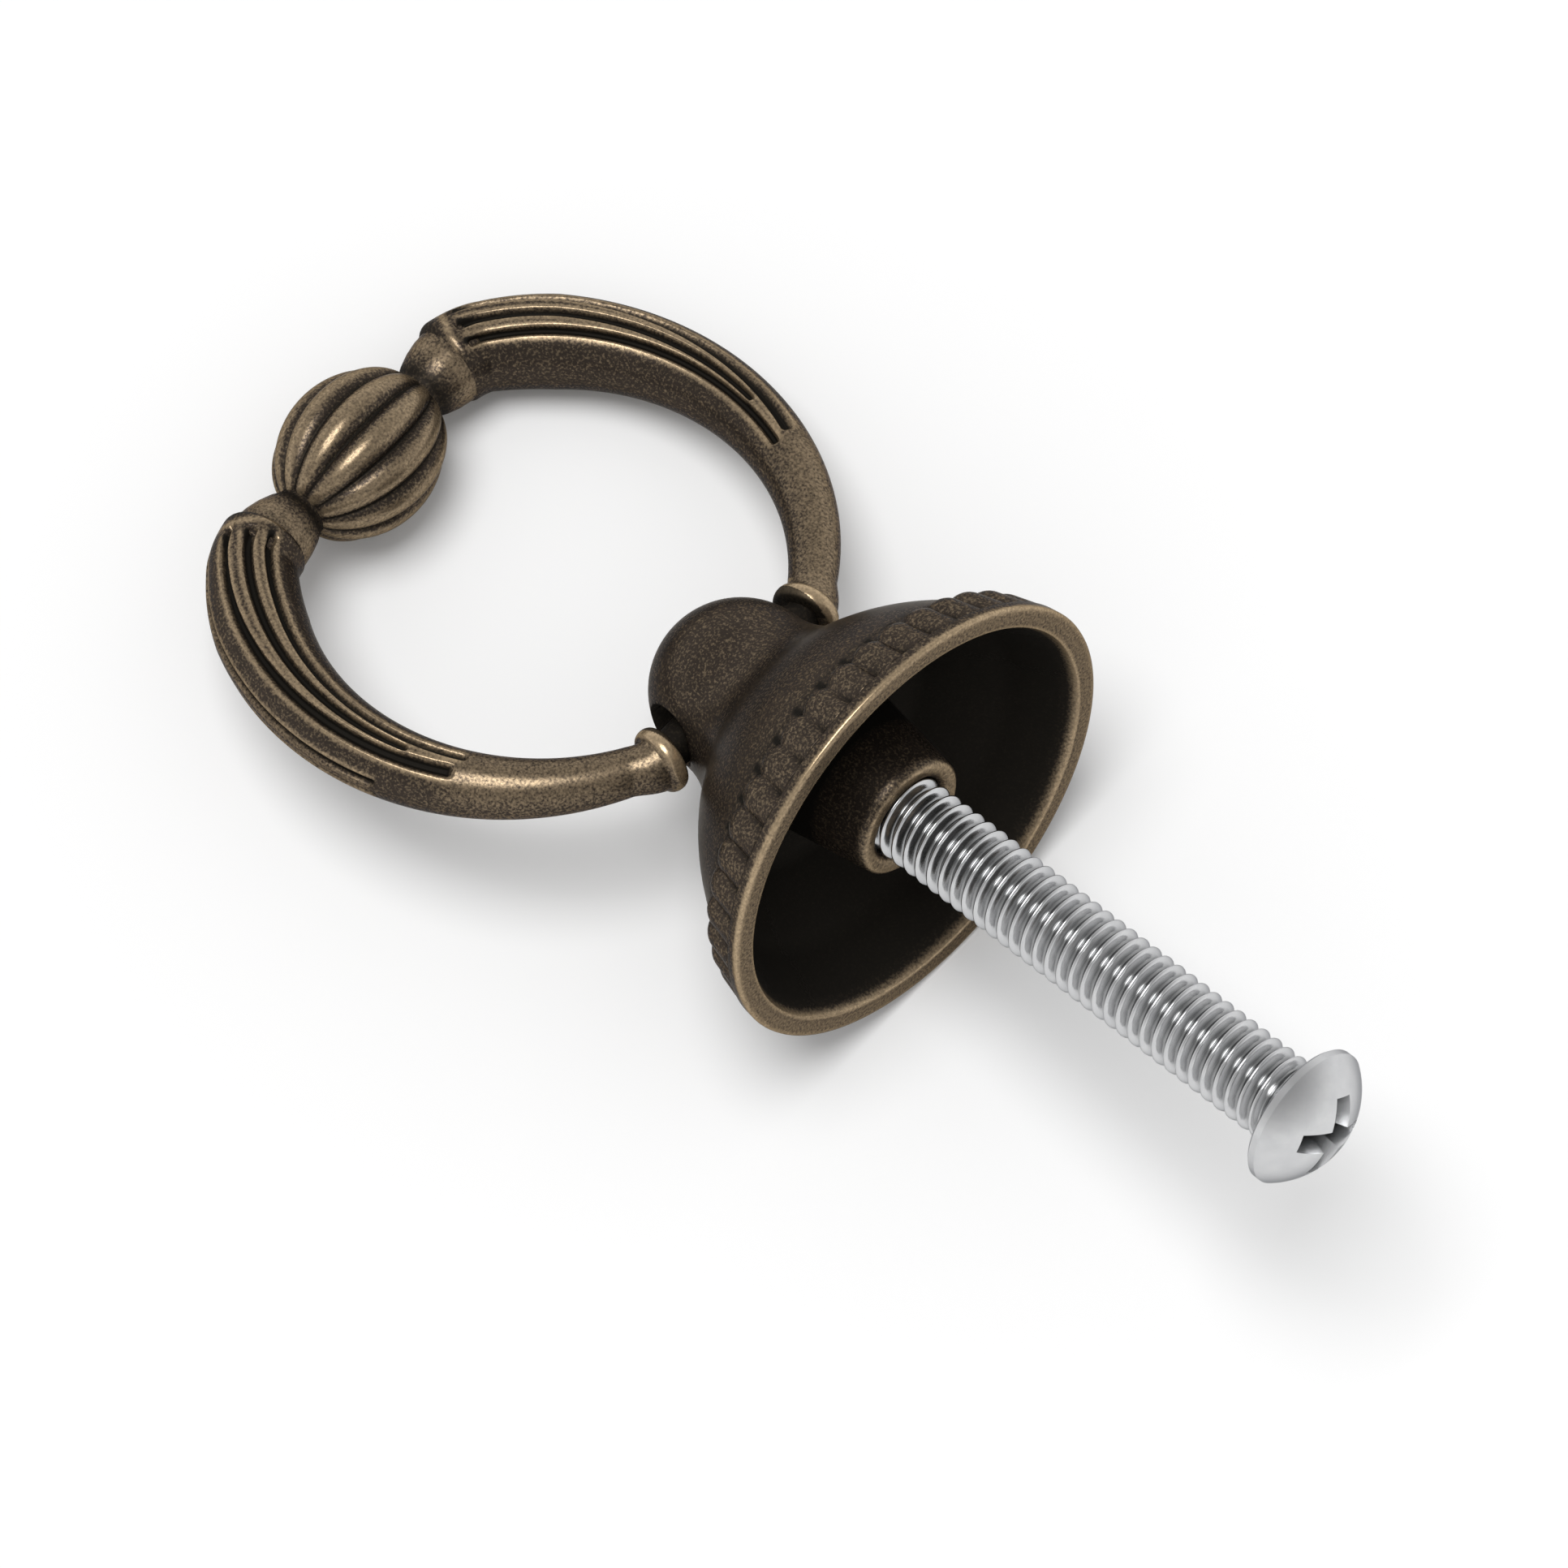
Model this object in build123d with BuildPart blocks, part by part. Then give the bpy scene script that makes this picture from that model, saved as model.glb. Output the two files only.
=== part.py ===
from build123d import *
import math
import os

# Ring pull handle: a gadrooned bell that seats on the furniture, a reeded ring
# hinged through the bell's neck, and the machine screw that comes from behind.
# Millimetres. The origin is the centre of the bell's rim. +Z runs along the
# screw, away from the ring, and the cross hole for the hinge lies along X.

# Bell: rim and plain lip
rim_radius = 10.94
rim_width = 1.04
lip_height = 0.65
lip_taper = 0.06
rim_edge_chamfer = 0.12

# Bell: ground that the gadroons lie on, and the valley under their noses
ground_radius = 10.45
valley_radius = 9.35
valley_depth = 3.15

# Bell: where the neck's hollow flare turns into the round shoulder
shoulder_radius = 5.75
shoulder_depth = 7.45
neck_radius = 4.05

# Bell: gadroon tongues round the flank
gadroon_count = 40
gadroon_round = 1.1
gadroon_crest_radius = 10.84
gadroon_crest_slope = 15.0
gadroon_crest_length = 1.5
gadroon_lip_overlap = 0.05

# Bell: hollow, boss and the threaded hole
hollow_knee_depth = 3.0
hollow_knee_radius = 8.45
hollow_floor_depth = 6.5
hollow_floor_radius = 5.7
hollow_floor_fillet = 0.8
boss_recess = 0.4
boss_end_radius = 2.85
boss_draft = 8.8
thread_hole_depth = 7.2
thread_countersink = 0.25

# Hinge: the cross hole through the neck, and the ball end below it
hinge_depth = 11.24
nose_centre_depth = 10.8
cross_hole_radius = 1.55
pin_radius = 0.9
pin_inner_end = 1.2

# Ring: how it lies in its loose hole
ring_cant = 6.73
ring_lean = 2.1

# Ring: arms, as angles round their circle counted from the ball
arm_circle_radius = 12.36
arm_start_angle = 35.0
arm_swell_angle = 56.0
arm_end_angle = 148.0
arm_start_radius = 1.95
arm_swell_radius = 2.14
arm_end_radius = 1.09
arm_start_fillet = 0.4
arm_section_step = 13.0

# Ring: reeding grooves as (place round the arm at the start and at the end,
# where the groove stops, width at the start and at the end), mirrored behind
reed_start_angle = 43.0
reed_depth = 0.34
reed_overcut = 0.25
reed_section_step = 12.0
reed_grooves = [
    (15.0, 13.0, 99.0, 0.34, 0.42),
    (55.0, 72.0, 113.0, 0.36, 0.72),
    (88.0, 91.0, 103.0, 0.52, 0.42),
    (117.0, 107.0, 115.0, 0.42, 0.46),
]

# Ring: finger bar with its melon ball and waists
bar_inset = 2.41
melon_radius = 3.6
melon_half_length = 4.29
melon_lobes = 12
melon_groove_ratio = 0.86
melon_sections = 9
waist_start = 4.15
waist_radius = 1.25
waist_flare_radius = 1.85
waist_flare_end = 7.3
waist_flare_bend = 5.5
waist_flare_bend_radius = 1.6

# Ring: collars beside the neck
collar_distance = 5.05
collar_tilt = 12.0
collar_lip_radius = 1.55
collar_lip_width = 0.8
collar_face_radius = 1.3

# Machine screw from behind
screw_major_radius = 1.95
thread_clearance = 0.04
screw_engagement = 2.2
screw_head_seat = 22.4
screw_tip_chamfer = 0.6
head_radius = 3.25
head_edge_height = 0.45
head_height = 2.15
head_underside_edge = 0.12
cross_width = 1.1
cross_length = 4.1
cross_depth = 1.35
cross_taper = 12.0
cross_turn = 58.6


def arm_radius(angle):
    """Radius of an arm at an angle round its circle: a swell, then a taper."""
    if angle < arm_swell_angle:
        share = (arm_swell_angle - angle) / (arm_swell_angle - arm_start_angle)
        return arm_swell_radius - (arm_swell_radius - arm_start_radius) * share**2
    share = (angle - arm_swell_angle) / (arm_end_angle - arm_swell_angle)
    return arm_swell_radius + (arm_end_radius - arm_swell_radius) * share


def arm_plane(angle, place=0.0, lift=0.0):
    """Plane across the right arm, moved out by lift at a place round it."""
    turn = math.radians(angle)
    turn_round = math.radians(place)
    outward = Vector(math.sin(turn), math.cos(turn), 0)
    along = Vector(math.cos(turn), -math.sin(turn), 0)
    centre = Vector(0, arm_circle_centre, 0) + outward * arm_circle_radius
    aside = outward * math.cos(turn_round) + Vector(0, 0, 1) * math.sin(turn_round)
    return Plane(origin=centre + aside * lift, x_dir=aside, z_dir=along)


def steps(start, end, largest):
    """Even values from start to end, no further apart than largest."""
    count = math.ceil(abs(end - start) / largest)
    return [start + (end - start) * step / count for step in range(count + 1)]


# Sizes that follow from the ones above
hollow_mouth_radius = rim_radius - rim_width
boss_root_radius = boss_end_radius + (hollow_floor_depth - boss_recess) * math.tan(
    math.radians(boss_draft)
)
collar_circle_angle = 180.0 - math.degrees(math.asin(collar_distance / arm_circle_radius))
arm_circle_centre = -arm_circle_radius * math.cos(math.radians(collar_circle_angle))
bar_line = arm_circle_centre + arm_circle_radius - bar_inset
slope = math.radians(gadroon_crest_slope)
tilt = math.radians(collar_tilt)
collar_way = Vector(math.cos(tilt), math.sin(tilt), 0)
collar_aside = Vector(math.sin(tilt), -math.cos(tilt), 0)
collar_back = Vector(collar_distance, 0, 0) + collar_way * (collar_lip_width / 2)

# One gadroon tongue: a round bar with a ball nose, lying under its crest line
crest_way = Vector(math.sin(slope), 0, math.cos(slope))
crest_out = Vector(math.cos(slope), 0, -math.sin(slope))
crest_top = Vector(gadroon_crest_radius, 0, -lip_height) - crest_out * gadroon_round
nose_centre = crest_top - crest_way * gadroon_crest_length
tongue_plane = Plane(origin=nose_centre, x_dir=crest_way, z_dir=(0, -1, 0))
tongue_length = gadroon_crest_length + gadroon_lip_overlap
with BuildPart() as gadroon_tongue:
    with BuildSketch(tongue_plane) as tongue_section:
        with BuildLine():
            tongue_axis = Line((-gadroon_round, 0), (tongue_length, 0))
            tongue_end = Line((tongue_length, 0), (tongue_length, gadroon_round))
            tongue_side = Line((tongue_length, gadroon_round), (0, gadroon_round))
            tongue_nose = CenterArc((0, 0), gadroon_round, 90, 90)
        make_face()
    revolve(axis=Axis(tongue_plane.origin, tongue_plane.x_dir))

# Bell: outer form with its tongues, then the hollow, the boss and the holes
with BuildPart() as bell_base:
    with BuildSketch(Plane.XZ) as bell_section:
        with BuildLine():
            nose = CenterArc((0, -nose_centre_depth), neck_radius, -90, 90)
            neck = TangentArc(nose @ 1, (shoulder_radius, -shoulder_depth), tangent=(0, 1))
            shoulder = TangentArc(neck @ 1, (valley_radius, -valley_depth), tangent=neck % 1)
            rim = Polyline(
                (valley_radius, -valley_depth),
                (ground_radius, -lip_height),
                (rim_radius - lip_taper, -lip_height),
                (rim_radius, -rim_edge_chamfer),
                (rim_radius - rim_edge_chamfer, 0),
                (0, 0),
                (0, -nose_centre_depth - neck_radius),
            )
        make_face()
    revolve(axis=Axis.Z)
    with PolarLocations(0, gadroon_count):
        add(gadroon_tongue.part)
    with BuildSketch(Plane.XZ) as hollow_section:
        with BuildLine():
            Polyline(
                (0, 0),
                (hollow_mouth_radius, 0),
                (hollow_knee_radius, -hollow_knee_depth),
                (hollow_floor_radius, -hollow_floor_depth),
                (boss_root_radius, -hollow_floor_depth),
                (boss_end_radius, -boss_recess),
                (0, -boss_recess),
                close=True,
            )
        make_face()
        floor_corner = hollow_section.vertices().sort_by(
            lambda corner: abs(Vector(corner) - Vector(hollow_floor_radius, 0, -hollow_floor_depth))
        )[0]
        fillet(floor_corner, hollow_floor_fillet)
    revolve(axis=Axis.Z, mode=Mode.SUBTRACT)
    with Locations((0, 0, -boss_recess)):
        CounterSinkHole(
            radius=screw_major_radius + thread_clearance,
            counter_sink_radius=screw_major_radius + thread_clearance + thread_countersink,
            depth=thread_hole_depth - boss_recess,
        )
    with Locations(Plane(origin=(0, 0, -hinge_depth), z_dir=(1, 0, 0))):
        Cylinder(cross_hole_radius, 4 * neck_radius, mode=Mode.SUBTRACT)

# Ring: one arm with its reeding, in the ring's own plane with the hinge along X.
# Its last section is the back of the collar, so it flares into it.
with BuildPart() as arm_body:
    for angle in steps(arm_start_angle, arm_end_angle, arm_section_step):
        with BuildSketch(arm_plane(angle)):
            Circle(arm_radius(angle))
    with BuildSketch(Plane(origin=collar_back, x_dir=collar_aside, z_dir=-collar_way)):
        Circle(collar_face_radius)
    loft()
    start_face = arm_body.faces().filter_by(GeomType.PLANE).sort_by(Axis.Y)[-1]
    fillet(start_face.edges(), arm_start_fillet)

reed_cutters = []
for place_start, place_end, stop_angle, width_start, width_end in reed_grooves:
    for side in (1, -1):
        with BuildPart() as reed_cutter:
            for angle in steps(reed_start_angle, stop_angle, reed_section_step):
                share = (angle - reed_start_angle) / (stop_angle - reed_start_angle)
                place = place_start + (place_end - place_start) * share
                half_width = (width_start + (width_end - width_start) * share) / 2
                mouth = half_width * (1 + reed_overcut / reed_depth)
                with BuildSketch(arm_plane(angle, side * place, arm_radius(angle))):
                    Polygon(
                        (-reed_depth, 0),
                        (reed_overcut, -mouth),
                        (reed_overcut, mouth),
                        align=None,
                    )
            loft()
        reed_cutters.append(reed_cutter.part)

with BuildPart() as reeded_arm:
    add(arm_body.part)
    add(reed_cutters, mode=Mode.SUBTRACT)

# Ring: collar with a rounded lip, turned between the arm and the hinge line
collar_plane = Plane(origin=(collar_distance, 0, 0), x_dir=collar_way, z_dir=(0, 0, 1))
with BuildPart() as collar:
    with BuildSketch(collar_plane):
        with BuildLine():
            half_lip = collar_lip_width / 2
            Polyline(
                (-half_lip, collar_face_radius),
                (-half_lip, 0),
                (half_lip, 0),
                (half_lip, collar_face_radius),
            )
            ThreePointArc(
                (half_lip, collar_face_radius),
                (0, collar_lip_radius),
                (-half_lip, collar_face_radius),
            )
        make_face()
    revolve(axis=Axis(collar_plane.origin, collar_plane.x_dir))
    pin_plane = Plane(origin=(pin_inner_end, 0, 0), z_dir=(1, 0, 0))
    with Locations(pin_plane):
        Cylinder(
            pin_radius,
            collar_distance - pin_inner_end,
            align=(Align.CENTER, Align.CENTER, Align.MIN),
        )

# Ring: melon ball, lofted through scalloped outlines that shrink to its poles
with BuildPart() as melon:
    pole_turn = math.degrees(math.asin(waist_start / melon_half_length))
    for turn in steps(-pole_turn, pole_turn, 2 * pole_turn / (melon_sections - 1)):
        crest = melon_radius * math.cos(math.radians(turn))
        valley = crest * melon_groove_ratio
        station = melon_half_length * math.sin(math.radians(turn))
        with BuildSketch(Plane(origin=(station, bar_line, 0), z_dir=(1, 0, 0), x_dir=(0, 0, 1))):
            with BuildLine():
                for lobe in range(melon_lobes):
                    pitch = 2 * math.pi / melon_lobes
                    turns = [pitch * (lobe + part_turn) for part_turn in (-0.5, 0.0, 0.5)]
                    radii = (valley, crest, valley)
                    ThreePointArc(
                        *[
                            (radius * math.cos(at), radius * math.sin(at))
                            for radius, at in zip(radii, turns)
                        ]
                    )
            make_face()
    loft()

# Ring: waist that flares from the ball into the start of an arm
with BuildPart() as waist:
    with BuildSketch(Plane.XY):
        with BuildLine():
            Polyline(
                (waist_flare_end, bar_line + waist_flare_radius),
                (waist_flare_end, bar_line),
                (waist_start - waist_radius, bar_line),
                (waist_start - waist_radius, bar_line + waist_radius),
                (waist_start, bar_line + waist_radius),
            )
            Spline(
                (waist_start, bar_line + waist_radius),
                (waist_flare_bend, bar_line + waist_flare_bend_radius),
                (waist_flare_end, bar_line + waist_flare_radius),
            )
        make_face()
    revolve(axis=Axis((0, bar_line, 0), (1, 0, 0)))

with BuildPart() as ring_half:
    add(reeded_arm.part)
    add(collar.part)
    add(waist.part)

# Ring: both halves and the ball, then laid in the cross hole as it hangs
ring_place = (
    Location((0, 0, -hinge_depth))
    * Location((0, 0, 0), (0, ring_cant, 0))
    * Location((0, 0, 0), (ring_lean - 90, 0, 0))
)
with BuildPart() as ring_flat:
    add(ring_half.part)
    mirror(about=Plane.YZ)
    add(melon.part)
with BuildPart() as pull_ring:
    with Locations(ring_place):
        add(ring_flat.part)

# Machine screw: plain shank at the thread's outer size, domed head, cross recess
with BuildPart() as mounting_screw:
    with BuildSketch(Plane.XZ):
        with BuildLine():
            screw_tip = -boss_recess - screw_engagement
            head_top = screw_head_seat + head_height
            head_edge = screw_head_seat + head_edge_height
            Polyline(
                (0, head_top),
                (0, screw_tip),
                (screw_major_radius - screw_tip_chamfer, screw_tip),
                (screw_major_radius, screw_tip + screw_tip_chamfer),
                (screw_major_radius, screw_head_seat),
                (head_radius - head_underside_edge, screw_head_seat),
                (head_radius, screw_head_seat + head_underside_edge),
                (head_radius, head_edge),
            )
            dome_radius = (
                head_radius**2 + (head_height - head_edge_height) ** 2
            ) / (2 * (head_height - head_edge_height))
            RadiusArc((head_radius, head_edge), (0, head_top), -dome_radius)
        make_face()
    revolve(axis=Axis.Z)
    with BuildSketch(Plane.XY.offset(head_top)):
        Rectangle(cross_length, cross_width, rotation=cross_turn)
        Rectangle(cross_width, cross_length, rotation=cross_turn)
    extrude(amount=-cross_depth, taper=cross_taper, mode=Mode.SUBTRACT)

os.makedirs("parts", exist_ok=True)
bell_base.part.label = "bell_base"
export_step(bell_base.part, "parts/bell_base.step")
pull_ring.part.label = "pull_ring"
export_step(pull_ring.part, "parts/pull_ring.step")
mounting_screw.part.label = "mounting_screw"
export_step(mounting_screw.part, "parts/mounting_screw.step")
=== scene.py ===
"""Looks of the ring pull handle: bronzed castings, machine screw and studio.

Every piece is built in millimetres from the sizes held by its own class, and
is turned to metres when its mesh is made. The row frame has its origin at the
centre of the bell's rim and +Z along the screw, away from the ring.
"""

import logging
import math
from dataclasses import dataclass, field
from enum import Enum
from typing import Any, Callable

import bpy
import numpy as np
from mathutils import Matrix, Vector

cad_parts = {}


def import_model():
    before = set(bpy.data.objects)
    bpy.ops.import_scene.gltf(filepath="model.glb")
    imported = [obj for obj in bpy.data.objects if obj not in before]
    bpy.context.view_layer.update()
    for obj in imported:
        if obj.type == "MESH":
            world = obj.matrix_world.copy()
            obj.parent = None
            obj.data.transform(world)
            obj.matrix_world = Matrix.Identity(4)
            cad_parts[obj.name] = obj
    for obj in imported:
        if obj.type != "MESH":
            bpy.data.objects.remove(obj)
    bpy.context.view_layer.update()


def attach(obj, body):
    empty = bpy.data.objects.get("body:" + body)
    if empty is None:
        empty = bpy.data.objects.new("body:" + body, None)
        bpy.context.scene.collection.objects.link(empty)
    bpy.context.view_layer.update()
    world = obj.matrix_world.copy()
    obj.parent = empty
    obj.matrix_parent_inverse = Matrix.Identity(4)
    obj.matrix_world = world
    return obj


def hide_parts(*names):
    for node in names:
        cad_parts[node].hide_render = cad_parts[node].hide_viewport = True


MM = 0.001
LOG = logging.getLogger("ring_pull")
Masks = tuple[np.ndarray, np.ndarray]
Socket = bpy.types.NodeSocket


class Body(Enum):
    """The two rigid bodies that the pieces ride on."""

    BELL = "bell"
    RING = "ring"


class Slot(Enum):
    """Names of the two material slots."""

    CASTING = "bronzed_casting"
    SCREW = "zinc_plated_screw"


def linear(hex_colour: str) -> tuple[float, float, float, float]:
    """Turn an sRGB hex colour into Blender's linear RGBA.

    Args:
        hex_colour: Colour such as "#8c7a5e".

    Returns:
        Linear red, green, blue and an alpha of 1.
    """
    values = [int(hex_colour[i : i + 2], 16) / 255 for i in (1, 3, 5)]
    red, green, blue = (
        v / 12.92 if v <= 0.04045 else ((v + 0.055) / 1.055) ** 2.4 for v in values
    )
    return (red, green, blue, 1.0)


def smooth_step(low: float, high: float, value: np.ndarray) -> np.ndarray:
    """Ease from 0 at low to 1 at high.

    Args:
        low: Value that gives 0.
        high: Value that gives 1.
        value: Values to ease.

    Returns:
        The eased values, from 0 to 1.
    """
    share = np.clip((value - low) / (high - low), 0.0, 1.0)
    return share * share * (3 - 2 * share)


def bump_at(centre: float, width: float, value: np.ndarray) -> np.ndarray:
    """A soft bell of 1 at centre that falls away over width, for worn edges."""
    return np.exp(-(((value - centre) / width) ** 2))


def add_node(
    tree: bpy.types.NodeTree,
    kind: str,
    settings: dict[str, Any] | None = None,
    links: dict[Any, Any] | None = None,
) -> bpy.types.Node:
    """Add one shader node with its settings, socket values and links.

    Args:
        tree: Node tree that takes the node.
        kind: Blender's type name of the node.
        settings: Properties by name; socket values by "in:" and their name.
        links: Output sockets by the name or number of the input they feed.

    Returns:
        The new node.
    """
    node = tree.nodes.new(kind)
    for name, value in (settings or {}).items():
        if name.startswith("in:"):
            key = name[3:]
            node.inputs[int(key) if key.isdigit() else key].default_value = value
        else:
            setattr(node, name, value)
    for name, source in (links or {}).items():
        tree.links.new(source, node.inputs[name])
    return node


def new_material(name: str) -> tuple[bpy.types.Material, bpy.types.NodeTree]:
    """Make an empty node material.

    Args:
        name: Name of the finish.

    Returns:
        The material and its cleared node tree.
    """
    material = bpy.data.materials.new(name)
    material.use_nodes = True
    material.node_tree.nodes.clear()
    return material, material.node_tree


@dataclass(frozen=True)
class PlatedMetal:
    """What both platings share: clouded tones, a darkening by patina and painted shade, and a fine
    relief.
    """

    name: str
    tone: str
    other_tone: str
    patina_and_shade: str
    edge_tint: str
    metallic: float
    roughness: float
    cloud_mm: float
    cloud_detail: float
    cloud_roughness: float
    relief_mm: float
    relief_strength: float

    def clouded(self, tree: bpy.types.NodeTree) -> tuple[Socket, Socket, Socket, Socket]:
        """Lay the plating's two tones in soft clouds.

        Args:
            tree: Node tree of the material.

        Returns:
            Sockets of the place, the mask of patina and painted shade, the clouds and the colour.
        """
        place = add_node(tree, "ShaderNodeTexCoord").outputs["Object"]
        patina_and_shade = add_node(tree, "ShaderNodeAttribute", {"attribute_name": "patina_and_shade"})
        clouds = add_node(
            tree,
            "ShaderNodeTexNoise",
            {
                "in:Scale": 1 / (self.cloud_mm * MM),
                "in:Detail": self.cloud_detail,
                "in:Roughness": self.cloud_roughness,
            },
            {"Vector": place},
        )
        tones = add_node(
            tree,
            "ShaderNodeMix",
            {"data_type": "RGBA", "in:6": linear(self.tone), "in:7": linear(self.other_tone)},
            {0: clouds.outputs["Fac"]},
        )
        return place, patina_and_shade.outputs["Fac"], clouds.outputs["Fac"], tones.outputs[2]

    def close(
        self,
        tree: bpy.types.NodeTree,
        patina_and_shade: Socket,
        colour: Socket,
        rough: Socket,
        height: Socket,
    ) -> None:
        """Darken by the mask of patina and painted shade, and end the tree in the metal's surface.

        Args:
            tree: Node tree of the material.
            patina_and_shade: Mask of the dark patina and the painted shade.
            colour: Colour outside the recesses.
            rough: Roughness.
            height: Height of the fine relief.
        """
        # The dark colour is laid by the mask: patina in grooves, and painted shade in hollows,
        # holes, thread roots and between parts.
        shown = add_node(
            tree,
            "ShaderNodeMix",
            {"data_type": "RGBA", "in:7": linear(self.patina_and_shade)},
            {0: patina_and_shade, 6: colour},
        )
        relief = add_node(
            tree,
            "ShaderNodeBump",
            {"in:Strength": self.relief_strength, "in:Distance": self.relief_mm * MM},
            {"Height": height},
        )
        surface = add_node(
            tree,
            "ShaderNodeBsdfPrincipled",
            {"in:Metallic": self.metallic, "in:Specular Tint": linear(self.edge_tint)},
            {
                "Base Color": shown.outputs[2],
                "Roughness": rough,
                "Normal": relief.outputs["Normal"],
            },
        )
        add_node(tree, "ShaderNodeOutputMaterial", links={"Surface": surface.outputs[0]})


@dataclass(frozen=True)
class BronzedCasting(PlatedMetal):
    """Antique bronze plating on a zinc die-casting, relieved on its high edges.

    The plating is dark brown and satin under a lacquer, which dulls its mirror.
    Rubbing has brought fine brass specks up all over and left crests and rims lighter, while the
    lacquer stays thick and almost black in the grooves. The same near-black is painted as shade
    into the bell's hollow and cross hole, under the tongue ends, on the collars' inner faces, on
    the arms' ends by the ball and over the pins.
    """

    name: str = "antique_bronze_plated_zinc"
    tone: str = "#322c27"
    other_tone: str = "#3f3731"
    brass: str = "#bda686"
    # Near-black of the thick lacquer in grooves, also painted as shade in hollows, holes and
    # between parts.
    patina_and_shade: str = "#1d1b18"
    edge_tint: str = "#8a8378"
    metallic: float = 0.7
    roughness: float = 0.34
    cloud_mm: float = 1.6
    cloud_detail: float = 4.0
    cloud_roughness: float = 0.55
    fleck_mm: float = 0.12
    relief_mm: float = 0.02
    relief_strength: float = 0.22
    rub_weight: float = 0.75
    polish: float = 0.12
    recess_dullness: float = 0.3

    def build(self) -> bpy.types.Material:
        """Build the node material.

        Returns:
            The finished material.
        """
        material, tree = new_material(self.name)
        place, patina_and_shade, _, tones = self.clouded(tree)
        rubbed = add_node(tree, "ShaderNodeAttribute", {"attribute_name": "rubbed"})
        flecks = add_node(
            tree,
            "ShaderNodeTexNoise",
            {"in:Scale": 1 / (self.fleck_mm * MM), "in:Detail": 3.0, "in:Roughness": 0.6},
            {"Vector": place},
        )
        # Brass shows where the rub mask and the fleck noise add up high enough.
        lift = add_node(
            tree,
            "ShaderNodeMath",
            {"operation": "MULTIPLY_ADD", "in:1": self.rub_weight},
            {0: rubbed.outputs["Fac"], 2: flecks.outputs["Fac"]},
        )
        worn = add_node(
            tree,
            "ShaderNodeMapRange",
            {"in:From Min": 0.5, "in:From Max": 1.2},
            {"Value": lift.outputs[0]},
        )
        colour = add_node(
            tree,
            "ShaderNodeMix",
            {"data_type": "RGBA", "in:7": linear(self.brass)},
            {0: worn.outputs["Result"], 6: tones},
        )
        # The relieved brass is polished by hand, the lacquer in recesses is dull.
        polish = add_node(
            tree,
            "ShaderNodeMapRange",
            {"in:To Min": self.roughness, "in:To Max": self.roughness - self.polish},
            {"Value": worn.outputs["Result"]},
        )
        rough = add_node(
            tree,
            "ShaderNodeMath",
            {"operation": "MULTIPLY_ADD", "in:1": self.recess_dullness},
            {0: patina_and_shade, 2: polish.outputs["Result"]},
        )
        self.close(tree, patina_and_shade, colour.outputs[2], rough.outputs[0], flecks.outputs["Fac"])
        return material


@dataclass(frozen=True)
class ZincPlatedSteel(PlatedMetal):
    """Bright zinc plating on a rolled and headed steel screw.

    The plating is a cool, clear silver, glossy on the cold-headed dome and a little dulled in
    clouds where the rolling dies and the barrel marked it. Shade is painted dark grey into the
    thread's roots and the cross recess.
    """

    name: str = "zinc_plated_steel"
    tone: str = "#d9d9d9"
    other_tone: str = "#c4c5c7"
    # Dark grey painted as shade in the thread's roots and inside the cross recess.
    patina_and_shade: str = "#3b3d3c"
    edge_tint: str = "#a6a7a9"
    metallic: float = 1.0
    roughness: float = 0.2
    cloud_mm: float = 0.9
    cloud_detail: float = 5.0
    cloud_roughness: float = 0.6
    relief_mm: float = 0.01
    relief_strength: float = 0.2

    def build(self) -> bpy.types.Material:
        """Build the node material.

        Returns:
            The finished material.
        """
        material, tree = new_material(self.name)
        _, patina_and_shade, clouds, tones = self.clouded(tree)
        rough = add_node(
            tree,
            "ShaderNodeMapRange",
            {"in:To Min": self.roughness - 0.05, "in:To Max": self.roughness + 0.1},
            {"Value": clouds},
        )
        self.close(tree, patina_and_shade, tones, rough.outputs["Result"], clouds)
        return material


@dataclass(frozen=True)
class WhitePaper:
    """Matt white background paper that keeps the object's shadow."""

    paper: str = "#f2f2f2"
    grain_mm: float = 0.6

    def build(self) -> bpy.types.Material:
        """Build the node material; it is clear from below.

        Returns:
            The finished material.
        """
        material, tree = new_material("white_background_paper")
        place = add_node(tree, "ShaderNodeTexCoord").outputs["Object"]
        fibres = add_node(
            tree,
            "ShaderNodeTexNoise",
            {"in:Scale": 1 / (self.grain_mm * MM), "in:Detail": 2.0},
            {"Vector": place},
        )
        grain = add_node(
            tree,
            "ShaderNodeBump",
            {"in:Strength": 0.05, "in:Distance": 0.02 * MM},
            {"Height": fibres.outputs["Fac"]},
        )
        matt = add_node(
            tree,
            "ShaderNodeBsdfDiffuse",
            {"in:Color": linear(self.paper), "in:Roughness": 1.0},
            {"Normal": grain.outputs["Normal"]},
        )
        clear = add_node(tree, "ShaderNodeBsdfTransparent")
        side = add_node(tree, "ShaderNodeNewGeometry")
        both = add_node(
            tree,
            "ShaderNodeMixShader",
            links={0: side.outputs["Backfacing"], 1: matt.outputs[0], 2: clear.outputs[0]},
        )
        add_node(tree, "ShaderNodeOutputMaterial", links={"Surface": both.outputs[0]})
        return material


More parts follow.
